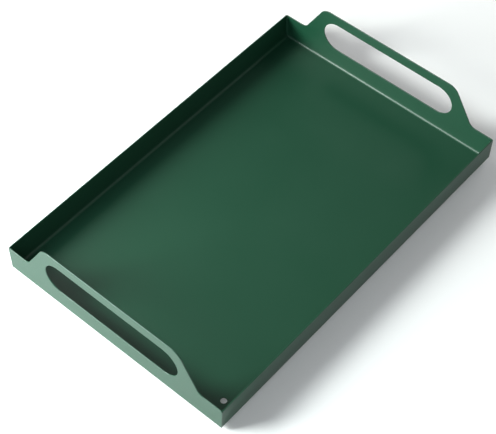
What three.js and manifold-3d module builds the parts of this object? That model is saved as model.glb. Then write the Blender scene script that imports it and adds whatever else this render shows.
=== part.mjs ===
// A sheet-metal serving tray. A folded pan makes the floor and the two long side walls, two bent
// end walls rise into handles with a long finger slot, weld seams close the four corners, and
// four rubber feet lift the tray off the table.
// The tray stands on z = 0, centred on x = 0 and y = 0, with its long side along x.
import * as THREE from "three";
import { mergeVertices } from "three/addons/utils/BufferGeometryUtils.js";
import Module from "manifold-3d";

const wasm = await Module();
wasm.setup();

// Driving dimensions, in millimetres and degrees.
const TRAY_LENGTH = 400; // over the two end walls, at their folds
const FLOOR_WIDTH = 260; // between the outer faces of the side walls, where they meet the underside
const SHEET = 1.2; // thickness of every sheet-metal piece
const BEND_RADIUS = 2.8; // inside radius of every fold
const WALL_HEIGHT = 31; // underside of the floor to the top of the side walls
const SIDE_LEAN = 2.5; // degrees that each side wall leans outwards
const END_LEAN = 0.8; // degrees that each end wall leans inwards

const HANDLE_HEIGHT = 71.3; // underside of the floor to the top of a handle
const HANDLE_FOOT_WIDTH = 210; // handle outline where its flanks meet the low wall
const HANDLE_TOP_WIDTH = 163; // handle outline where its flanks meet the top edge
const NOTCH_FILLET = 8; // inside corner between the low wall and a flank
const HANDLE_ROUND = 13; // outside corner at the top of a flank
const END_CORNER_ROUND = 2; // top outside corners of an end wall

const SLOT_LENGTH = 160.5;
const SLOT_HEIGHT = 35.2;
const SLOT_CENTRE_HEIGHT = 41.6; // underside of the floor to the middle of the finger slot

const HOLE_DIAMETER = 6; // hanging hole in the floor
const HOLE_FROM_END = 22.4; // hole centre to the outer face of the near end wall
const HOLE_FROM_SIDE = 17.1; // hole centre to the foot of the right side wall

const WELD_LEG = 1.8; // width of a corner weld seam on each of its two walls
const FOOT_DIAMETER = 12;
const FOOT_HEIGHT = 2;
const FOOT_CHAMFER = 0.4;
const FOOT_FROM_END = 45; // foot centre to the outer face of its end wall
const FOOT_FROM_SIDE = 30; // foot centre to the foot of its side wall

const JOIN_GAP = 0.3; // clearance between pieces that touch
const ARC_SEGMENTS = 8; // straight steps in each arc of an outline
const ROUND_SEGMENTS = 40; // straight steps round a foot or the hole

// Values worked out from the sizes above.
const lean = THREE.MathUtils.degToRad(SIDE_LEAN);
const endLean = THREE.MathUtils.degToRad(END_LEAN);
const outerRadius = BEND_RADIUS + SHEET;
const undersideZ = FOOT_HEIGHT + JOIN_GAP;
const halfLength = TRAY_LENGTH / 2;
const halfFloor = FLOOR_WIDTH / 2;
const sideBendY = halfFloor + Math.tan(lean) * outerRadius - outerRadius / Math.cos(lean);
const endBendX = halfLength - outerRadius;
const beyond = 10; // how far a cutting or a trimmed solid runs past what it meets
const blankWidth = FLOOR_WIDTH + 4 * beyond; // bent sheet and clearance, before their sides are trimmed
const mergeTolerance = 1e-4;

const steel = () => new THREE.MeshStandardMaterial({ color: 0x2c5a45, roughness: 0.55, metalness: 0.0 });
const rubber = () => new THREE.MeshStandardMaterial({ color: 0x1b1d1c, roughness: 0.9, metalness: 0.0 });

// Turns a three.js geometry into a manifold-3d solid.
function solidFrom(geometry) {
  const bare = geometry.clone();
  bare.deleteAttribute("normal");
  bare.deleteAttribute("uv");
  const merged = mergeVertices(bare, mergeTolerance);
  return new wasm.Manifold(
    new wasm.Mesh({
      numProp: 3,
      vertProperties: merged.attributes.position.array,
      triVerts: new Uint32Array(merged.index.array),
    }),
  );
}

// Turns a manifold-3d solid back into a three.js geometry.
function geometryFrom(solid) {
  const mesh = solid.getMesh();
  const geometry = new THREE.BufferGeometry();
  geometry.setAttribute("position", new THREE.BufferAttribute(mesh.vertProperties, 3));
  geometry.setIndex(new THREE.BufferAttribute(mesh.triVerts, 1));
  geometry.computeVertexNormals();
  return geometry;
}

// Extrudes an outline drawn in y and z along x, from x = start to x = end.
function prismAlongX(outline, start, end) {
  const geometry = new THREE.ExtrudeGeometry(outline, {
    depth: end - start,
    bevelEnabled: false,
    curveSegments: ARC_SEGMENTS,
  });
  const axes = new THREE.Matrix4().makeBasis(
    new THREE.Vector3(0, 1, 0),
    new THREE.Vector3(0, 0, 1),
    new THREE.Vector3(1, 0, 0),
  );
  return geometry.applyMatrix4(axes).translate(start, 0, 0);
}

// Extrudes an outline drawn in x and z along y, centred on y = 0.
function prismAlongY(outline, width) {
  const geometry = new THREE.ExtrudeGeometry(outline, {
    depth: width,
    bevelEnabled: false,
    curveSegments: ARC_SEGMENTS,
  });
  return geometry.rotateX(Math.PI / 2).translate(0, width / 2, 0);
}

// An arc drawn into an outline, with its angles in degrees.
function arc(outline, x, y, radius, from, to) {
  const start = THREE.MathUtils.degToRad(from);
  const end = THREE.MathUtils.degToRad(to);
  outline.absarc(x, y, radius, start, end, to < from);
}

// Rounds the corner at point between the straight edges to its neighbours.
function roundedCorner(outline, before, point, after, radius) {
  const towardsBefore = before.clone().sub(point).normalize();
  const towardsAfter = after.clone().sub(point).normalize();
  const halfAngle = towardsBefore.angleTo(towardsAfter) / 2;
  const tangent = radius / Math.tan(halfAngle);
  const start = point.clone().addScaledVector(towardsBefore, tangent);
  const bisector = towardsBefore.clone().add(towardsAfter).normalize();
  const centre = point.clone().addScaledVector(bisector, radius / Math.sin(halfAngle));
  const end = point.clone().addScaledVector(towardsAfter, tangent);
  const clockwise = towardsBefore.cross(towardsAfter) > 0;
  const angleFrom = start.clone().sub(centre).angle();
  const angleTo = end.clone().sub(centre).angle();
  outline.lineTo(start.x, start.y);
  outline.absarc(centre.x, centre.y, radius, angleFrom, angleTo, clockwise);
}

// The y of a side wall's outer face at a height above the underside.
function sideFaceY(height) {
  return halfFloor + Math.tan(lean) * height;
}

// The x, at a height above the underside, of a face of the far end wall whose bend has this radius.
function endFaceX(height, radius) {
  return endBendX + radius / Math.cos(endLean) - Math.tan(endLean) * (height - outerRadius);
}

// The pan's cross-section: floor, two bends and two leaning side walls, above the underside.
function panSection() {
  const outline = new THREE.Shape();
  const outerTopY = sideFaceY(WALL_HEIGHT);
  const innerTopY = outerTopY - SHEET * Math.cos(lean);
  const innerTopZ = WALL_HEIGHT + SHEET * Math.sin(lean);
  outline.moveTo(-sideBendY, 0);
  arc(outline, sideBendY, outerRadius, outerRadius, -90, -SIDE_LEAN);
  outline.lineTo(outerTopY, WALL_HEIGHT);
  outline.lineTo(innerTopY, innerTopZ);
  arc(outline, sideBendY, outerRadius, BEND_RADIUS, -SIDE_LEAN, -90);
  arc(outline, -sideBendY, outerRadius, BEND_RADIUS, -90, -180 + SIDE_LEAN);
  outline.lineTo(-innerTopY, innerTopZ);
  outline.lineTo(-outerTopY, WALL_HEIGHT);
  arc(outline, -sideBendY, outerRadius, outerRadius, -180 + SIDE_LEAN, -90);
  return outline;
}

// What an end wall and its clearance take away from the far end of the pan.
function endClearanceSection() {
  const outline = new THREE.Shape();
  const clearRadius = BEND_RADIUS - JOIN_GAP;
  const top = WALL_HEIGHT + beyond;
  outline.moveTo(endBendX - JOIN_GAP, -beyond);
  outline.lineTo(endBendX - JOIN_GAP, SHEET + JOIN_GAP);
  arc(outline, endBendX, outerRadius, clearRadius, -90, END_LEAN);
  outline.lineTo(endFaceX(top, clearRadius), top);
  outline.lineTo(halfLength + beyond, top);
  outline.lineTo(halfLength + beyond, -beyond);
  return outline;
}

// The bent section of the far end wall: the bend and the sheet that rises from it.
function endWallSection() {
  const outline = new THREE.Shape();
  const top = HANDLE_HEIGHT + beyond;
  outline.moveTo(endBendX, 0);
  arc(outline, endBendX, outerRadius, outerRadius, -90, END_LEAN);
  outline.lineTo(endFaceX(top, outerRadius), top);
  outline.lineTo(endFaceX(top, BEND_RADIUS), top);
  arc(outline, endBendX, outerRadius, BEND_RADIUS, END_LEAN, -90);
  return outline;
}

// The face of an end wall: low corners, notches, flanks and handle, with the finger slot.
function endWallFace() {
  const outline = new THREE.Shape();
  const corner = new THREE.Vector2(sideFaceY(WALL_HEIGHT), WALL_HEIGHT);
  const notch = new THREE.Vector2(HANDLE_FOOT_WIDTH / 2, WALL_HEIGHT);
  const shoulder = new THREE.Vector2(HANDLE_TOP_WIDTH / 2, HANDLE_HEIGHT);
  const foot = new THREE.Vector2(halfFloor, 0);
  const flip = (point) => new THREE.Vector2(-point.x, point.y);
  outline.moveTo(-sideBendY, 0);
  arc(outline, sideBendY, outerRadius, outerRadius, -90, -SIDE_LEAN);
  roundedCorner(outline, foot, corner, notch, END_CORNER_ROUND);
  roundedCorner(outline, corner, notch, shoulder, NOTCH_FILLET);
  roundedCorner(outline, notch, shoulder, flip(shoulder), HANDLE_ROUND);
  roundedCorner(outline, shoulder, flip(shoulder), flip(notch), HANDLE_ROUND);
  roundedCorner(outline, flip(shoulder), flip(notch), flip(corner), NOTCH_FILLET);
  roundedCorner(outline, flip(notch), flip(corner), flip(foot), END_CORNER_ROUND);
  arc(outline, -sideBendY, outerRadius, outerRadius, -180 + SIDE_LEAN, -90);
  outline.holes.push(fingerSlot());
  return outline;
}

function fingerSlot() {
  const slot = new THREE.Path();
  const endRadius = SLOT_HEIGHT / 2;
  const endCentre = SLOT_LENGTH / 2 - endRadius;
  slot.moveTo(-endCentre, SLOT_CENTRE_HEIGHT - endRadius);
  arc(slot, endCentre, SLOT_CENTRE_HEIGHT, endRadius, -90, 90);
  arc(slot, -endCentre, SLOT_CENTRE_HEIGHT, endRadius, 90, 270);
  return slot;
}

function makePan() {
  const blank = solidFrom(prismAlongX(panSection(), -halfLength, halfLength));
  const clearanceGeometry = prismAlongY(endClearanceSection(), blankWidth);
  const farClearance = solidFrom(clearanceGeometry);
  const nearClearance = solidFrom(clearanceGeometry.clone().rotateZ(Math.PI));
  const drill = new THREE.CylinderGeometry(
    HOLE_DIAMETER / 2,
    HOLE_DIAMETER / 2,
    SHEET + 2 * beyond,
    ROUND_SEGMENTS,
  );
  drill.rotateX(Math.PI / 2);
  drill.translate(HOLE_FROM_END - halfLength, HOLE_FROM_SIDE - halfFloor, 0);
  const pan = blank.subtract(farClearance).subtract(nearClearance).subtract(solidFrom(drill));
  return geometryFrom(pan);
}

function makeEndWall() {
  const sheet = solidFrom(prismAlongY(endWallSection(), blankWidth));
  const face = solidFrom(prismAlongX(endWallFace(), endBendX - beyond, halfLength + beyond));
  return geometryFrom(sheet.intersect(face));
}

// A quarter-round bead with its two flat sides against the end wall and the side wall.
function makeWeld() {
  const section = new THREE.Shape();
  section.moveTo(0, 0);
  arc(section, 0, 0, WELD_LEG, 180, 270);
  const length = (WALL_HEIGHT - outerRadius - END_CORNER_ROUND) / (Math.cos(lean) * Math.cos(endLean));
  const bead = new THREE.ExtrudeGeometry(section, {
    depth: length,
    bevelEnabled: false,
    curveSegments: ARC_SEGMENTS,
  });
  return bead.rotateX(-lean).rotateY(-endLean);
}

function makeFoot() {
  const radius = FOOT_DIAMETER / 2;
  const profile = [
    new THREE.Vector2(0, 0),
    new THREE.Vector2(radius - FOOT_CHAMFER, 0),
    new THREE.Vector2(radius, FOOT_CHAMFER),
    new THREE.Vector2(radius, FOOT_HEIGHT),
    new THREE.Vector2(0, FOOT_HEIGHT),
  ];
  return new THREE.LatheGeometry(profile, ROUND_SEGMENTS).rotateX(Math.PI / 2);
}

function namedMesh(name, geometry, material) {
  const mesh = new THREE.Mesh(geometry, material);
  mesh.name = name;
  return mesh;
}

const tray = new THREE.Group();
const sheetMetal = new THREE.Group();
sheetMetal.position.z = undersideZ;
tray.add(sheetMetal);

sheetMetal.add(namedMesh("tray_pan", makePan(), steel()));

const ends = [
  { end: "far", x: 1, turn: 0 },
  { end: "near", x: -1, turn: Math.PI },
];
const sides = [
  { side: "left", y: 1 },
  { side: "right", y: -1 },
];

for (const { end, turn } of ends) {
  const wall = namedMesh(end + "_end_handle", makeEndWall(), steel());
  wall.rotation.z = turn;
  sheetMetal.add(wall);
}

// A weld sits in the inside corner, clear of the end wall in x and of the side wall in y.
const weldX = endFaceX(outerRadius, BEND_RADIUS - JOIN_GAP);
const weldY = sideFaceY(outerRadius) - (SHEET + JOIN_GAP) / Math.cos(lean);
const footX = halfLength - FOOT_FROM_END;
const footY = halfFloor - FOOT_FROM_SIDE;
for (const { end, x } of ends) {
  for (const { side, y } of sides) {
    const weld = namedMesh("corner_weld_" + end + "_" + side, makeWeld(), steel());
    weld.position.set(x * weldX, y * weldY, outerRadius);
    weld.scale.set(x, y, 1);
    sheetMetal.add(weld);

    const foot = namedMesh("foot_" + end + "_" + side, makeFoot(), rubber());
    foot.position.set(x * footX, y * footY, 0);
    tray.add(foot);
  }
}

export default tray;
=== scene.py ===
# %% [markdown]
# # A powder-coated steel serving tray
# The tray is folded from thin sheet steel. A pan makes the floor and the two long walls, two end walls rise
# into handles with a finger slot, small weld seams close the inside corners, and four rubber feet carry it.
# This lesson builds each piece over the measured frame, one short cell at a time.

# %% Load the measured frame
import math

import bmesh
import bpy
from mathutils import Matrix, Vector


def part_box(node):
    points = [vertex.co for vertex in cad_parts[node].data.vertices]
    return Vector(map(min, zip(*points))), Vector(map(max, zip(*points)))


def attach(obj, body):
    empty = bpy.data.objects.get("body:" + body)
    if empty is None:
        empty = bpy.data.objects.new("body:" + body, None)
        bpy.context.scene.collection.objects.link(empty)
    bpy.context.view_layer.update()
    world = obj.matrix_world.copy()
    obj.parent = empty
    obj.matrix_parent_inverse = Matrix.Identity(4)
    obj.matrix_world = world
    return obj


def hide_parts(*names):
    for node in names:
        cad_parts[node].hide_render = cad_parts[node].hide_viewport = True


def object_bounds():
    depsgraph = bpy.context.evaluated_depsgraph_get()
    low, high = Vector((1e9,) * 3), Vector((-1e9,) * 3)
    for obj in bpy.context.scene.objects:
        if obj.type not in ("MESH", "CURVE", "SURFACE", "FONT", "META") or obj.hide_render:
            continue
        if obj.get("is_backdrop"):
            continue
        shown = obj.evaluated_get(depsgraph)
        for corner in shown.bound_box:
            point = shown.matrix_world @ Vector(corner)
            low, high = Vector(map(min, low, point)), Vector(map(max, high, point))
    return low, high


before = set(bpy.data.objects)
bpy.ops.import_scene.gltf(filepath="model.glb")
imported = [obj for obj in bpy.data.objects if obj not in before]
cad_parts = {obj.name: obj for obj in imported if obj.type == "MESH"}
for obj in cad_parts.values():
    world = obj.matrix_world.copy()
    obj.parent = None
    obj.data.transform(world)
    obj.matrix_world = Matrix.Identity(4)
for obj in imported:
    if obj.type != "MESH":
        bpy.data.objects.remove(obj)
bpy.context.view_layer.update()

# %% [markdown]
# ## Sizes that the pieces share
# Every size is in metres. Places come from the frame's own boxes, so a piece always lands where the frame
# says. Only what a box can't tell, such as a sheet's thickness or a fold's radius, is named here. SPARE is
# how far a blank or a cutting solid runs past what it meets.

# %% Name the sheet's own sizes
MM = 0.001
SHEET = 1.2 * MM
FOLD_RADIUS = 2.8 * MM
OUTER_RADIUS = FOLD_RADIUS + SHEET
SIDE_LEAN = math.radians(2.5)
END_LEAN = math.radians(0.8)
SPARE = 12 * MM

pan_low, pan_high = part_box("tray_pan")
end_low, end_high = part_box("far_end_handle")
UNDERSIDE = pan_low.z
HALF_LENGTH = end_high.x
HANDLE_TOP = end_high.z
WALL_HEIGHT = 31 * MM
WALL_TOP = UNDERSIDE + WALL_HEIGHT
HALF_FLOOR = 130 * MM
HALF_TOP = HALF_FLOOR + math.tan(SIDE_LEAN) * WALL_HEIGHT
FOLD_X = HALF_LENGTH - OUTER_RADIUS
print("underside", round(UNDERSIDE, 4), "half length", round(HALF_LENGTH, 4), "top", round(HANDLE_TOP, 4))

# %% [markdown]
# The side walls lean outwards and the end walls lean inwards by less than a degree. Several pieces meet an
# end wall, so one helper says where its two faces are at any height.

# %% Find the faces of a leaning end wall
def end_face(height, radius):
    """The x, at a height, of the face of the far end wall whose bend has this radius."""
    rise = height - UNDERSIDE - OUTER_RADIUS
    return FOLD_X + radius / math.cos(END_LEAN) - math.tan(END_LEAN) * rise


print("the handle's top leans in by", round((HALF_LENGTH - end_face(HANDLE_TOP, OUTER_RADIUS)) / MM, 2), "mm")

# %% [markdown]
# ## The camera
# The tray is seen from above one corner, with a long lens so that its sides stay nearly parallel. The camera
# is placed by the direction it looks in. The small shift slides the frame sideways without turning the view.

# %% Place the camera
CAMERA_PLACE = Vector((-0.636589, -0.537907, 1.095346))
LOOK_AZIMUTH = math.radians(40.572)
LOOK_DOWN = math.radians(52.588)
ROLL = math.radians(-0.232)
SENSOR_WIDTH = 36
LENS = 103.52
SHIFT_X = -0.0084
SHIFT_Y = -0.0146

forward = Vector(
    (
        math.cos(LOOK_DOWN) * math.cos(LOOK_AZIMUTH),
        math.cos(LOOK_DOWN) * math.sin(LOOK_AZIMUTH),
        -math.sin(LOOK_DOWN),
    )
)
level_right = forward.cross(Vector((0, 0, 1))).normalized()
level_down = forward.cross(level_right)
right = math.cos(ROLL) * level_right + math.sin(ROLL) * level_down
down = -math.sin(ROLL) * level_right + math.cos(ROLL) * level_down

bpy.ops.object.camera_add(location=CAMERA_PLACE)
camera = bpy.context.object
camera.name = "studio_camera"
camera.rotation_euler = Matrix((right, -down, -forward)).transposed().to_euler()
camera.data.sensor_width = SENSOR_WIDTH
camera.data.lens = LENS
camera.data.shift_x = SHIFT_X
camera.data.shift_y = SHIFT_Y
bpy.context.scene.camera = camera
print("camera looks along", [round(v, 3) for v in forward])

# %% [markdown]
# ## The floor of the studio
# A wide pale floor carries the tray. It is far larger than the view, so that its edge never shows. Its
# paint comes later, with the other materials.

# %% Lay the floor
FLOOR_SPAN = 12

scene = bpy.context.scene
scene.view_settings.view_transform = "Standard"

bpy.ops.mesh.primitive_plane_add(size=FLOOR_SPAN, location=(0, 0, 0))
studio_floor = bpy.context.object
studio_floor.name = "studio_floor"
studio_floor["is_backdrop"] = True
print("the floor is", FLOOR_SPAN, "metres wide")

# %% [markdown]
# ## The lamps
# One strong soft lamp, the key, stands low beyond the left wall, towards the near end. It leaves that
# wall's inner face dark and the floor shaded along it, and draws the bright line in the far fold. Four weak
# lamps on the same ring and a small one close to the near end lift the shadows. A soft lamp is a large one:
# its size, against its distance, sets how soft a shadow is.

# %% Hang the lamps
RING_RADIUS = 1.7
PANEL = 0.8


def hang_lamp(name, place, target, width, height, power, tint):
    """Adds a soft rectangular lamp at a place, aimed at a target."""
    bpy.ops.object.light_add(type="AREA", location=place)
    lamp = bpy.context.object
    lamp.name = name
    lamp.data.shape = "RECTANGLE"
    lamp.data.size = width
    lamp.data.size_y = height
    lamp.data.energy = power
    lamp.data.color = tint
    aim = Vector(target) - Vector(place)
    lamp.rotation_euler = aim.to_track_quat("-Z", "Y").to_euler()
    print(name, "hangs", round(aim.length, 2), "m away")


def around(azimuth, height):
    """A place on a ring of lamps round the tray, by its two angles in degrees."""
    turn = math.radians(azimuth)
    lift = math.radians(height)
    return (
        RING_RADIUS * math.cos(lift) * math.cos(turn),
        RING_RADIUS * math.cos(lift) * math.sin(turn),
        RING_RADIUS * math.sin(lift),
    )


CENTRE = (0, 0, 0)
WHITE = (1, 1, 1)
COOL = (0.80, 0.92, 1.0)
SOFT_GREEN = (0.94, 1.0, 0.96)
hang_lamp("key_softbox", around(141, 27), CENTRE, 0.75, 0.85, 57, SOFT_GREEN)
hang_lamp("left_fill", around(90, 45), CENTRE, PANEL, PANEL, 5, WHITE)
hang_lamp("front_fill", around(205, 45), CENTRE, PANEL, PANEL, 3.8, COOL)
hang_lamp("right_fill", around(270, 45), CENTRE, PANEL, PANEL, 0.6, WHITE)
hang_lamp("back_fill", around(0, 20), CENTRE, PANEL, PANEL, 6.5, WHITE)
hang_lamp("table_glow", (-0.46, 0.20, 0.30), (-0.26, 0.10, 0.0), 0.3, 0.3, 1.15, COOL)

# %% [markdown]
# ## Writing a shader as an expression
# A material is a set of nodes joined by links. The small class below holds one socket, and lets plain
# arithmetic on it add the Math nodes. Its method node makes any other node: settings first, then inputs.

# %% Wrap a socket
class Wire:
    """One output socket, which arithmetic and the method node turn into new nodes."""

    def __init__(self, tree, socket=None):
        self.tree = tree
        self.socket = socket

    def node(self, kind, settings=None, inputs=None, output=0):
        made = self.tree.nodes.new(kind)
        for name, value in (settings or {}).items():
            if name == "stops":
                while len(made.color_ramp.elements) < len(value):
                    made.color_ramp.elements.new(1)
                for stop, (position, colour) in zip(made.color_ramp.elements, value):
                    stop.position = position
                    stop.color = colour
            else:
                setattr(made, name, value)
        for name, value in (inputs or {}).items():
            if isinstance(value, Wire):
                self.tree.links.new(value.socket, made.inputs[name])
            else:
                made.inputs[name].default_value = value
        return Wire(self.tree, made.outputs[output])

    def math(self, operation, first, second):
        return self.node("ShaderNodeMath", {"operation": operation}, {0: first, 1: second})

    def __add__(self, other):
        return self.math("ADD", self, other)

    def __sub__(self, other):
        return self.math("SUBTRACT", self, other)

    def __rsub__(self, other):
        return self.math("SUBTRACT", other, self)

    def __mul__(self, other):
        return self.math("MULTIPLY", self, other)

    __radd__ = __add__
    __rmul__ = __mul__


# %% [markdown]
# The same few nodes come back in every material: the place on the piece, a noise that varies with it, a
# blend of two colours, and a bump. Each gets a short name. A noise's scale is how many waves fit in a
# metre, so 1000 makes a grain of about a millimetre.

# %% Name the nodes that come back
def new_material(name):
    """An empty material, with a start for its expressions and its surface shader."""
    made = bpy.data.materials.new(name)
    made.use_nodes = True
    shader = made.node_tree.nodes["Principled BSDF"]
    return made, Wire(made.node_tree), shader


def place_on(start):
    return start.node("ShaderNodeTexCoord", output="Object")


def noise(place, scale, detail):
    return place.node("ShaderNodeTexNoise", inputs={"Vector": place, "Scale": scale, "Detail": detail})


def blend(factor, first, second):
    inputs = {"Factor": factor, 6: first, 7: second}
    return factor.node("ShaderNodeMix", {"data_type": "RGBA"}, inputs, output=2)


def bump(height, strength, distance):
    inputs = {"Height": height, "Strength": strength, "Distance": distance}
    return height.node("ShaderNodeBump", inputs=inputs)


def grey(value):
    return (value, value, value, 1)


def connect(wire, shader, name):
    wire.tree.links.new(wire.socket, shader.inputs[name])


# %% [markdown]
# ## The sky of the studio
# The room around the tray is pale near the floor and dim overhead, like a curved paper backdrop. It lights
# the walls a little from the side, and leaves the tray's floor without a grey sheen.

# %% Paint the sky
SKY_GREYS = {0.0: 0.44, 0.25: 0.37, 0.6: 0.06}

sky = bpy.data.worlds.new("studio_sky")
scene.world = sky
sky.use_nodes = True
start = Wire(sky.node_tree)
direction = start.node("ShaderNodeTexCoord", output="Generated")
height = start.node("ShaderNodeSeparateXYZ", inputs={"Vector": direction}, output="Z")
stops = [(lift, grey(value)) for lift, value in SKY_GREYS.items()]
fade = start.node("ShaderNodeValToRGB", {"stops": stops}, {"Fac": height})
connect(fade, sky.node_tree.nodes["Background"], "Color")
print("the sky fades through", len(stops), "greys")

# %% [markdown]
# ## Satin powder coat
# Powder coat is plastic powder that is baked until it flows. It ends a little uneven: a fine orange peel
# a millimetre across, soft waves a few millimetres long, and a faint cloudiness in the pigment. It pulls
# thin over a sheared edge, and the marked faces are painted a shade lighter. That is partly this thin coat
# and partly a painted highlight for the bright line that the rims and the weld beads catch. The nodes read
# Object coordinates, so the pattern runs on from one piece to the next at its real size.

# %% Make the powder coat
DEEP_GREEN = (0.0045, 0.0520, 0.0240, 1)
MID_GREEN = (0.0060, 0.0595, 0.0290, 1)
THIN_COAT_AND_HIGHLIGHT_GREEN = (0.014, 0.072, 0.041, 1)
CLOUDS_PER_METRE = 14
WAVES_PER_METRE = 190
PEEL_PER_METRE = 850
GRAIN_PER_METRE = 1400
THINNING_AND_HIGHLIGHT = 0.6
PEEL_STRENGTH = 0.6
PEEL_DEPTH = 0.018 * MM
COAT_ROUGHNESS = 0.37
COAT_IOR = 1.62

powder_coat, start, coat_shader = new_material("satin_powder_coat")
place = place_on(start)
clouds = noise(place, CLOUDS_PER_METRE, 3)
grain = noise(place, GRAIN_PER_METRE, 2)
peel = noise(place, PEEL_PER_METRE, 2)
waves = noise(place, WAVES_PER_METRE, 1)
edge = start.node("ShaderNodeAttribute", {"attribute_name": "edge"}, output="Fac")

body_green = blend(0.6 * clouds + 0.4 * grain, DEEP_GREEN, MID_GREEN)
# Marked faces are painted a shade lighter: partly thin coat on an edge, partly a painted highlight.
connect(blend(edge * THINNING_AND_HIGHLIGHT, body_green, THIN_COAT_AND_HIGHLIGHT_GREEN), coat_shader, "Base Color")
connect(COAT_ROUGHNESS + 0.08 * clouds + 0.06 * grain - 0.06 * edge, coat_shader, "Roughness")
connect(bump(0.7 * peel + 1.6 * waves, PEEL_STRENGTH, PEEL_DEPTH), coat_shader, "Normal")
coat_shader.inputs["IOR"].default_value = COAT_IOR
print("powder coat has", len(powder_coat.node_tree.nodes), "nodes")

# %% [markdown]
# ## Rubber for the feet
# The feet are moulded rubber: nearly black, matt, with a fine even grain and a trace of grey bloom.

# %% Make the rubber
RUBBER_DARK = (0.012, 0.012, 0.012, 1)
RUBBER_BLOOM = (0.035, 0.035, 0.034, 1)
BLOOM_PER_METRE = 320
RUBBER_GRAIN_PER_METRE = 2600
RUBBER_GRAIN_STRENGTH = 0.6
RUBBER_GRAIN_DEPTH = 0.03 * MM
RUBBER_ROUGHNESS = 0.72

rubber, start, rubber_shader = new_material("moulded_rubber")
place = place_on(start)
bloom = noise(place, BLOOM_PER_METRE, 4)
grain = noise(place, RUBBER_GRAIN_PER_METRE, 2)
connect(blend(bloom, RUBBER_DARK, RUBBER_BLOOM), rubber_shader, "Base Color")
connect(RUBBER_ROUGHNESS + 0.16 * bloom, rubber_shader, "Roughness")
connect(bump(grain, RUBBER_GRAIN_STRENGTH, RUBBER_GRAIN_DEPTH), rubber_shader, "Normal")
print("rubber has", len(rubber.node_tree.nodes), "nodes")

# %% [markdown]
# ## The studio floor's paint
# The floor is matt and almost white, with a faint cloudiness so that it isn't a dead flat tone. It glows
# a little, like a light table, which keeps the tray's shadow pale.

# %% Paint the floor
FLOOR_CLOUDS_PER_METRE = 3
FLOOR_DARKER = 0.91
FLOOR_PALER = 0.93
FLOOR_ROUGHNESS = 0.8
FLOOR_SPECULAR = 0.2
FLOOR_GLOW = 0.10

pale_paint, start, paint_shader = new_material("pale_floor_paint")
clouds = noise(place_on(start), FLOOR_CLOUDS_PER_METRE, 2)
connect(blend(clouds, grey(FLOOR_DARKER), grey(FLOOR_PALER)), paint_shader, "Base Color")
paint_shader.inputs["Roughness"].default_value = FLOOR_ROUGHNESS
paint_shader.inputs["Specular IOR Level"].default_value = FLOOR_SPECULAR
paint_shader.inputs["Emission Color"].default_value = grey(1)
paint_shader.inputs["Emission Strength"].default_value = FLOOR_GLOW
studio_floor.data.materials.append(pale_paint)
print("the floor glows at", FLOOR_GLOW)

# %% [markdown]
# ## Helpers for work in edit mode
# An operator acts on whatever is selected, so each step first says what it works on. These helpers pick
# one object, open it, and select its faces, edges or corners by where they are.

# %% Pick, open and close a piece
def pick(piece):
    """Makes one object the only one selected, and active."""
    bpy.ops.object.select_all(action="DESELECT")
    piece.select_set(True)
    bpy.context.view_layer.objects.active = piece


def open_up(piece):
    pick(piece)
    bpy.ops.object.mode_set(mode="EDIT")


def close_up():
    bpy.ops.object.mode_set(mode="OBJECT")


# %% Choose by place
NEAR = 0.01 * MM


def near(value, target):
    return abs(value - target) < NEAR


def choose(kind, rule):
    """Selects the parts of the open mesh whose corners all keep to a rule, and returns how many."""
    bpy.ops.mesh.select_mode(type=kind)
    bpy.ops.mesh.select_all(action="DESELECT")
    shape = bmesh.from_edit_mesh(bpy.context.object.data)
    parts = {"VERT": shape.verts, "EDGE": shape.edges, "FACE": shape.faces}[kind]
    chosen = 0
    for part in parts:
        corners = [part.co] if kind == "VERT" else [corner.co for corner in part.verts]
        if all(rule(corner) for corner in corners):
            part.select_set(True)
            chosen += 1
    bmesh.update_edit_mesh(bpy.context.object.data)
    return chosen


def choose_lines(rule, sharpness=math.radians(1)):
    """Selects the open mesh's sharp edges whose two ends together keep to a rule, and returns how many."""
    bpy.ops.mesh.select_mode(type="EDGE")
    bpy.ops.mesh.select_all(action="DESELECT")
    bpy.ops.mesh.edges_select_sharp(sharpness=sharpness)
    shape = bmesh.from_edit_mesh(bpy.context.object.data)
    for line in shape.edges:
        if line.select and not rule(*[corner.co for corner in line.verts]):
            line.select_set(False)
    bmesh.update_edit_mesh(bpy.context.object.data)
    return sum(line.select for line in shape.edges)


def choose_all():
    bpy.ops.mesh.select_all(action="SELECT")


# %% Shape what is chosen
def extrude(x, y, z):
    """Extrudes what is selected along a vector."""
    bpy.ops.mesh.extrude_region_move(TRANSFORM_OT_translate={"value": (x, y, z)})


def bevel(width, steps, affect="EDGES", material=-1):
    """Turns what is selected into a round that starts a width away on each side."""
    bpy.ops.mesh.bevel(offset=width, segments=steps, profile=0.5, affect=affect, material=material)


def set_back(radius, turn):
    """How far from its fold line a bend of this radius starts, when the sheet turns by an angle."""
    return radius * math.tan(turn / 2)


# %% Start from a primitive, or from a copy
def settle(name):
    """Names the new primitive, and moves its place and size into its mesh."""
    made = bpy.context.object
    made.name = name
    pick(made)
    bpy.ops.object.transform_apply(location=True, rotation=True, scale=True)
    return made


def block(name, low, high):
    """A box between two corners."""
    middle = (Vector(low) + Vector(high)) / 2
    bpy.ops.mesh.primitive_cube_add(size=1, location=middle)
    bpy.context.object.scale = Vector(high) - Vector(low)
    return settle(name)


def copy_of(piece, name):
    """A copy of a piece, with its own mesh."""
    pick(piece)
    bpy.ops.object.duplicate()
    bpy.context.object.name = name
    return bpy.context.object


# %% Apply a modifier, or cut with another solid
MERGE_DISTANCE = 0.002 * MM
FLAT_ANGLE = math.radians(0.2)


def apply_modifier(piece, kind, **settings):
    pick(piece)
    modifier = piece.modifiers.new(kind.lower(), kind)
    for name, value in settings.items():
        setattr(modifier, name, value)
    bpy.ops.object.modifier_apply(modifier=modifier.name)


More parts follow.
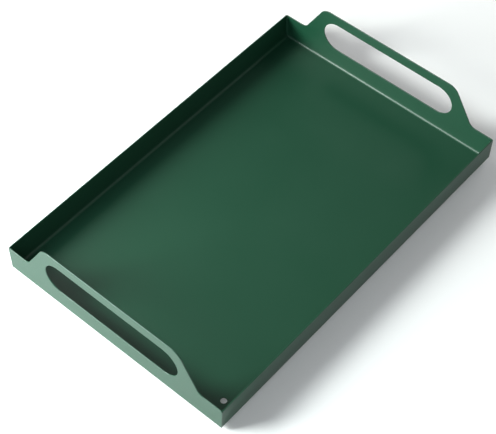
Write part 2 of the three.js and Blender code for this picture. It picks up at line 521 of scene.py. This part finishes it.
def cut_with(piece, tool, operation):
    """Keeps or removes what a tool solid covers, then throws the tool away."""
    apply_modifier(piece, "BOOLEAN", object=tool, operation=operation, solver="EXACT")
    bpy.data.objects.remove(tool)
    open_up(piece)
    choose_all()
    bpy.ops.mesh.remove_doubles(threshold=MERGE_DISTANCE)
    bpy.ops.mesh.dissolve_limited(angle_limit=FLAT_ANGLE)
    close_up()
    print(piece.name, operation.lower(), "leaves", len(piece.data.polygons), "faces")


# %% [markdown]
# ## Rounding the sheared edges
# A punched sheet has crisp edges, and the powder rounds them as it flows. Each edge that stays free gets a
# small bevel, a wider one where the sheet's outer face ends. Edges where two pieces meet inside stay square,
# so that the join closes without a groove. The bevel gives its new faces a marking material number, which
# the next cell turns into a face attribute. The powder coat reads it to go a shade lighter: partly the thin
# coat over an edge, partly a painted highlight where the rounded rims catch the light.

# %% Round the edges that keep to a rule
# Faces with this number are painted lighter: thin coat on edges, and a painted highlight.
EDGE_AND_HIGHLIGHT_MARK = 1
SHARP_ANGLE = math.radians(40)


def round_edges(piece, width, rule, steps=3):
    open_up(piece)
    count = choose_lines(rule, SHARP_ANGLE)
    bevel(width, steps, material=EDGE_AND_HIGHLIGHT_MARK)
    close_up()
    print(piece.name, "has", count, "edges rounded to", round(width / MM, 2), "mm")


# %% [markdown]
# Every piece is finished in the same way. Its marked faces are written down, it gets its one material, and
# its shading is smoothed across gentle angles. Weighted normals keep the wide flat faces flat next to the
# thin rounds. Last, the frame's parts that it stands for are hidden, and it is hung from the empty of the
# body that carries it.

# %% Finish a piece and hand it to the frame
SMOOTH_ANGLE = math.radians(35)


def finish(piece, nodes, material):
    marks = piece.data.attributes.new("edge", "FLOAT", "FACE")
    for face in piece.data.polygons:
        marks.data[face.index].value = float(face.material_index == EDGE_AND_HIGHLIGHT_MARK)
    piece.data.materials.clear()
    piece.data.materials.append(material)
    for face in piece.data.polygons:
        face.material_index = 0
    pick(piece)
    bpy.ops.object.shade_smooth_by_angle(angle=SMOOTH_ANGLE)
    apply_modifier(piece, "WEIGHTED_NORMAL", keep_sharp=True, weight=100)
    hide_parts(*nodes)
    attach(piece, "root")
    print(piece.name, "has", len(piece.data.polygons), "faces")


# %% [markdown]
# ## The pan
# The pan is one strip of sheet with its two long sides folded up. It starts as a flat plane at the
# underside. Its long edges are extruded up and a little outwards, and the two fold lines are bevelled into
# round bends. Solidify then gives the sheet its thickness on the inside, as a press brake leaves it.

# %% Fold the strip
BEND_STEPS = 12

bpy.ops.mesh.primitive_plane_add(size=1, location=(0, 0, UNDERSIDE))
bpy.context.object.scale = (2 * (HALF_LENGTH + SPARE), 2 * HALF_FLOOR, 1)
pan = settle("pan")
open_up(pan)
for side in (1, -1):
    choose("EDGE", lambda corner: near(corner.y, side * HALF_FLOOR))
    extrude(0, side * math.tan(SIDE_LEAN) * WALL_HEIGHT, WALL_HEIGHT)
fold_lines = choose("EDGE", lambda corner: near(abs(corner.y), HALF_FLOOR) and near(corner.z, UNDERSIDE))
bevel(set_back(OUTER_RADIUS, math.pi / 2 - SIDE_LEAN), BEND_STEPS)
close_up()
apply_modifier(pan, "SOLIDIFY", thickness=SHEET, offset=1, use_even_offset=True)
print("pan folded along", fold_lines, "lines")

# %% [markdown]
# The strip is still too long. A block with the inside shape of the two end walls trims it: its ends lean
# as they do, its lower corners are rounded like their bends, and its base drops through the floor. Only
# what lies inside that block is kept, so the pan's ends fit the end walls all the way round.

# %% Trim the ends
FLOOR_TOP = UNDERSIDE + SHEET
END_FOOT = end_face(FLOOR_TOP, FOLD_RADIUS)

core = block(
    "trimming_core",
    (-END_FOOT, -HALF_TOP - SPARE, FLOOR_TOP),
    (END_FOOT, HALF_TOP + SPARE, HANDLE_TOP),
)
open_up(core)
choose("VERT", lambda corner: near(corner.z, HANDLE_TOP))
lean_in = end_face(HANDLE_TOP, FOLD_RADIUS) / END_FOOT
bpy.ops.transform.resize(value=(lean_in, 1, 1), center_override=(0, 0, HANDLE_TOP))
for side in (1, -1):
    choose("EDGE", lambda corner: near(corner.x, side * END_FOOT) and near(corner.z, FLOOR_TOP))
    bevel(set_back(FOLD_RADIUS, math.pi / 2 + END_LEAN), BEND_STEPS)
choose("FACE", lambda corner: near(corner.z, FLOOR_TOP))
extrude(0, 0, -SPARE)
close_up()
cut_with(pan, core, "INTERSECT")

# %% [markdown]
# A hole in one corner of the floor lets the tray hang on a hook. It is drilled with a cylinder.

# %% Drill the hanging hole
HOLE_RADIUS = 3 * MM
HOLE_SIDES = 64
HOLE_FROM_END = 22.4 * MM
HOLE_FROM_SIDE = 17.1 * MM
HOLE_PLACE = Vector((HOLE_FROM_END - HALF_LENGTH, HOLE_FROM_SIDE - HALF_FLOOR, UNDERSIDE))

bpy.ops.mesh.primitive_cylinder_add(
    vertices=HOLE_SIDES, radius=HOLE_RADIUS, depth=SPARE, location=HOLE_PLACE
)
drill = settle("drill")
cut_with(pan, drill, "DIFFERENCE")

# %% [markdown]
# Only the long top edges and the rim of the hole stay free on the pan. The ends of the pan meet the end
# walls, so they stay square.

# %% Round and finish the pan
RIM_ROUND = 0.4 * MM
HOLE_ROUND = 0.25 * MM


def is_rim(one, two):
    """The long top edges of the side walls."""
    return min(one.z, two.z) > WALL_TOP - SHEET and near(one.y, two.y)


def is_hole(one, two):
    """The rim of the hanging hole, on both faces of the floor."""
    return max((corner - HOLE_PLACE).to_2d().length for corner in (one, two)) < HOLE_RADIUS + SHEET


round_edges(pan, RIM_ROUND, is_rim)
round_edges(pan, HOLE_ROUND, is_hole)
finish(pan, ["tray_pan"], powder_coat)

# %% [markdown]
# ## The end walls with their handles
# Each end wall is a bent sheet cut to an outline. The blank is bent first: a tall plane that leans in a
# little, with a short foot extruded from its lower edge and the fold line bevelled into a bend. It is
# wider and taller than the wall, because the outline cuts it to size.

# %% Bend the blank
BLANK_FOOT = end_face(UNDERSIDE, OUTER_RADIUS)
BLANK_TOP = HANDLE_TOP + SPARE

bpy.ops.mesh.primitive_plane_add(
    size=1,
    location=(BLANK_FOOT, 0, (UNDERSIDE + BLANK_TOP) / 2),
    rotation=(0, math.pi / 2, 0),
)
bpy.context.object.scale = (BLANK_TOP - UNDERSIDE, 2 * (HALF_TOP + SPARE), 1)
far_end = settle("far_end")
open_up(far_end)
choose("EDGE", lambda corner: near(corner.z, BLANK_TOP))
bpy.ops.transform.translate(value=(end_face(BLANK_TOP, OUTER_RADIUS) - BLANK_FOOT, 0, 0))
choose("EDGE", lambda corner: near(corner.z, UNDERSIDE))
extrude(-SPARE, 0, 0)
choose("EDGE", lambda corner: near(corner.z, UNDERSIDE) and near(corner.x, BLANK_FOOT))
bevel(set_back(OUTER_RADIUS, math.pi / 2 + END_LEAN), BEND_STEPS)
close_up()
apply_modifier(far_end, "SOLIDIFY", thickness=SHEET, offset=-1, use_even_offset=True)
print("the blank has", len(far_end.data.polygons), "faces")

# %% [markdown]
# The outline is a flat shape: a low wall that widens upwards, whose middle is extruded up into the handle
# and drawn in at the top. Two cuts mark where the handle starts. Its faces are then joined into one, so
# that only the corners are left.

# %% Draw the outline
HANDLE_FOOT = 105 * MM
HANDLE_SHOULDER = 81.5 * MM

bpy.ops.mesh.primitive_plane_add(
    size=1,
    location=(FOLD_X, 0, (UNDERSIDE + WALL_TOP) / 2),
    rotation=(0, math.pi / 2, 0),
)
bpy.context.object.scale = (WALL_HEIGHT, 2 * HALF_FLOOR, 1)
outline = settle("outline")
open_up(outline)
choose("VERT", lambda corner: near(corner.z, WALL_TOP))
bpy.ops.transform.resize(value=(1, HALF_TOP / HALF_FLOOR, 1), center_override=(FOLD_X, 0, WALL_TOP))
for side in (1, -1):
    choose_all()
    bpy.ops.mesh.bisect(plane_co=(0, side * HANDLE_FOOT, 0), plane_no=(0, 1, 0))
choose("EDGE", lambda corner: near(corner.z, WALL_TOP) and abs(corner.y) < HANDLE_FOOT + SHEET)
extrude(0, 0, HANDLE_TOP - WALL_TOP)
drawn_in = HANDLE_SHOULDER / HANDLE_FOOT
bpy.ops.transform.resize(value=(1, drawn_in, 1), center_override=(FOLD_X, 0, HANDLE_TOP))
choose_all()
bpy.ops.mesh.dissolve_faces()
choose_all()
bpy.ops.mesh.dissolve_limited(angle_limit=FLAT_ANGLE)
close_up()
print("outline has", len(outline.data.vertices), "corners")

# %% [markdown]
# A round of a given radius starts some way back from its corner. How far depends on how wide the corner
# opens, so a helper works that out before it bevels the point. The rounded outline is extruded along the
# tray, and keeps only what it covers of the bent blank.

# %% Round the outline's corners
HANDLE_ROUND = 13 * MM
NOTCH_FILLET = 8 * MM
CORNER_ROUND = 2 * MM


def round_corner(y, z, radius, opening, steps):
    """Rounds the two points at plus and minus y, whose edges open by an angle."""
    choose("VERT", lambda corner: near(abs(corner.y), y) and near(corner.z, z))
    bevel(radius / math.tan(opening / 2), steps, affect="VERTICES")


flank = math.atan2(HANDLE_FOOT - HANDLE_SHOULDER, HANDLE_TOP - WALL_TOP)
right_angle = math.pi / 2
open_up(outline)
round_corner(HANDLE_SHOULDER, HANDLE_TOP, HANDLE_ROUND, right_angle + flank, steps=14)
round_corner(HANDLE_FOOT, WALL_TOP, NOTCH_FILLET, right_angle + flank, steps=10)
round_corner(HALF_TOP, WALL_TOP, CORNER_ROUND, right_angle - SIDE_LEAN, steps=6)
round_corner(HALF_FLOOR, UNDERSIDE, OUTER_RADIUS, right_angle + SIDE_LEAN, steps=BEND_STEPS)
choose_all()
extrude(SPARE, 0, 0)
choose_all()
bpy.ops.mesh.normals_make_consistent(inside=False)
close_up()
cut_with(far_end, outline, "INTERSECT")

# %% [markdown]
# The finger slot is a long hole with round ends. A block of the slot's size becomes that shape when its
# four long edges are bevelled by half its height.

# %% Cut the finger slot
SLOT_HALF_LENGTH = 80.25 * MM
SLOT_HALF_HEIGHT = 17.6 * MM
SLOT_MIDDLE = UNDERSIDE + 41.6 * MM
SLOT_STEPS = 20

slot_tool = block(
    "slot_tool",
    (FOLD_X - SPARE, -SLOT_HALF_LENGTH, SLOT_MIDDLE - SLOT_HALF_HEIGHT),
    (HALF_LENGTH + SPARE, SLOT_HALF_LENGTH, SLOT_MIDDLE + SLOT_HALF_HEIGHT),
)
open_up(slot_tool)
choose_lines(lambda one, two: not near(one.x, two.x))
bevel(SLOT_HALF_HEIGHT, SLOT_STEPS)
choose_all()
bpy.ops.mesh.remove_doubles(threshold=MERGE_DISTANCE)
close_up()
cut_with(far_end, slot_tool, "DIFFERENCE")

# %% [markdown]
# A punch rounds the face it enters, so the free edges of the outer face get a wider round than those of
# the inner face. The upright outer corners of the tray are part of it. The far end is then copied and
# turned half round to make the near end.

# %% Round the handle's edges
OUTER_FACE_ROUND = 0.75 * MM
INNER_FACE_ROUND = 0.35 * MM
CORNER_REACH = 1.1 * CORNER_ROUND


def is_corner(one, two):
    """The upright outer corners of the tray, down to the fold."""
    above_fold = min(one.z, two.z) > UNDERSIDE + OUTER_RADIUS - SHEET / 10
    return above_fold and min(abs(one.y), abs(two.y)) > HALF_FLOOR - SHEET


def is_free(one, two):
    """Edges of the handle, of its slot and of the top of the low wall."""
    round_slot = max(abs(one.y), abs(two.y)) < SLOT_HALF_LENGTH + SHEET
    lowest = SLOT_MIDDLE - SLOT_HALF_HEIGHT - SHEET if round_slot else WALL_TOP - CORNER_REACH
    return min(one.z, two.z) > lowest


def is_outer(one, two):
    """The free edges of the outer face, and the upright corners."""
    on_outer_face = all(near(corner.x, end_face(corner.z, OUTER_RADIUS)) for corner in (one, two))
    return on_outer_face and (is_free(one, two) or is_corner(one, two))


round_edges(far_end, OUTER_FACE_ROUND, is_outer, steps=5)
round_edges(far_end, INNER_FACE_ROUND, is_free)

# %% Copy it to the other end, and finish both
near_end = copy_of(far_end, "near_end")
open_up(near_end)
choose_all()
bpy.ops.transform.rotate(value=math.pi, orient_axis="Z", center_override=(0, 0, 0))
close_up()
finish(far_end, ["far_end_handle"], powder_coat)
finish(near_end, ["near_end_handle"], powder_coat)

# %% [markdown]
# ## The corner welds
# The walls are separate sheets at each corner, joined by a short seam inside. The bead is a thin rod of
# filler with faint ripples, left by the torch as it moves up. A cylinder is cut into rings, every second
# ring is drawn in, and two cuts leave the quarter that shows between the walls. The whole bead is marked
# like an edge, so it is painted a shade lighter: a painted highlight for the bright line it catches in the
# corner.

# %% Model one bead
BEAD_RADIUS = 2.1 * MM
BEAD_SIDES = 48
BEAD_LENGTH = WALL_HEIGHT - OUTER_RADIUS - CORNER_ROUND
RIPPLES = 22
RIPPLE_WAIST = 0.955

bpy.ops.mesh.primitive_cylinder_add(
    vertices=BEAD_SIDES, radius=BEAD_RADIUS, depth=BEAD_LENGTH, location=(0, 0, BEAD_LENGTH / 2)
)
bead = settle("bead")
open_up(bead)
choose_lines(lambda one, two: not near(one.z, two.z))
bpy.ops.mesh.subdivide(number_cuts=2 * RIPPLES - 1)
ring_step = BEAD_LENGTH / (2 * RIPPLES)
choose("VERT", lambda corner: round(corner.z / ring_step) % 2 == 1)
bpy.ops.transform.resize(value=(RIPPLE_WAIST, RIPPLE_WAIST, 1), center_override=(0, 0, 0))
for axis in ((1, 0, 0), (0, 1, 0)):
    choose_all()
    bpy.ops.mesh.bisect(plane_co=(0, 0, 0), plane_no=axis, use_fill=True, clear_outer=True)
close_up()
# The whole bead is painted lighter, as a painted highlight for the bright line in the corner.
for face in bead.data.polygons:
    face.material_index = EDGE_AND_HIGHLIGHT_MARK
print("bead has", len(bead.data.polygons), "faces")

# %% [markdown]
# The bead was made upright at the middle of the world. It is leaned with both walls and moved into the
# far left corner in one step. The other three corners are mirror images of that one, and a mirrored mesh
# is inside out, so its normals are worked out again.

# %% Lean it against the walls and copy it to four corners
BEAD_FOOT = UNDERSIDE + OUTER_RADIUS
BEAD_X = end_face(BEAD_FOOT, FOLD_RADIUS)
BEAD_Y = HALF_FLOOR + math.tan(SIDE_LEAN) * OUTER_RADIUS - SHEET / math.cos(SIDE_LEAN)

open_up(bead)
shape = bmesh.from_edit_mesh(bead.data)
bmesh.ops.transform(
    shape,
    matrix=Matrix.Translation((BEAD_X, BEAD_Y, BEAD_FOOT))
    @ Matrix.Rotation(-END_LEAN, 4, "Y")
    @ Matrix.Rotation(-SIDE_LEAN, 4, "X"),
    verts=shape.verts,
)
bmesh.update_edit_mesh(bead.data)
close_up()

for end, x in (("far", 1), ("near", -1)):
    for side, y in (("left", 1), ("right", -1)):
        corner_name = end + "_" + side
        weld = copy_of(bead, "weld_" + corner_name)
        open_up(weld)
        choose_all()
        bpy.ops.transform.resize(value=(x, y, 1), center_override=(0, 0, 0))
        bpy.ops.mesh.normals_make_consistent(inside=False)
        close_up()
        finish(weld, ["corner_weld_" + corner_name], powder_coat)
bpy.data.objects.remove(bead)

# %% [markdown]
# ## The feet
# A foot is a stick-on rubber button. Its rim is rounded, its face is dished so that it grips on a ring,
# and a thinner disc of adhesive holds it to the underside. All four are turned from one cylinder.

# %% Model one foot
FOOT_RADIUS = 6 * MM
FOOT_SIDES = 72
FOOT_HEIGHT = 2 * MM
FOOT_RIM = 0.5 * MM
GRIP_RING = 1.3 * MM
DISH_SLOPE = 0.4 * MM
DISH_DEPTH = 0.25 * MM
PAD_INSET = 0.35 * MM

bpy.ops.mesh.primitive_cylinder_add(
    vertices=FOOT_SIDES, radius=FOOT_RADIUS, depth=FOOT_HEIGHT, location=(0, 0, FOOT_HEIGHT / 2)
)
foot = settle("foot")
open_up(foot)
choose("EDGE", lambda corner: near(corner.z, 0))
bevel(FOOT_RIM, steps=5)
choose("FACE", lambda corner: near(corner.z, 0))
bpy.ops.mesh.inset(thickness=GRIP_RING)
bpy.ops.mesh.inset(thickness=DISH_SLOPE)
bpy.ops.transform.translate(value=(0, 0, DISH_DEPTH))
choose("FACE", lambda corner: near(corner.z, FOOT_HEIGHT))
bpy.ops.mesh.inset(thickness=PAD_INSET)
extrude(0, 0, UNDERSIDE - FOOT_HEIGHT)
close_up()
print("foot has", len(foot.data.polygons), "faces")

# %% [markdown]
# The frame's boxes say where the four feet sit. Each copy is moved in edit mode, so that its place is in
# its mesh and its object stays at the origin.

# %% Set the four feet in place
for end in ("far", "near"):
    for side in ("left", "right"):
        foot_name = "foot_" + end + "_" + side
        low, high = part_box(foot_name)
        button = copy_of(foot, "rubber_" + foot_name)
        open_up(button)
        choose_all()
        bpy.ops.transform.translate(value=((low.x + high.x) / 2, (low.y + high.y) / 2, 0))
        close_up()
        finish(button, [foot_name], rubber)
bpy.data.objects.remove(foot)

# %% [markdown]
# ## The size of the finished tray
# The finished tray has to fill the same box as the frame it was built on. Its own box is printed.

# %% Print the tray's box
low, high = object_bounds()
print("visual box", [round(v, 5) for v in low], [round(v, 5) for v in high])
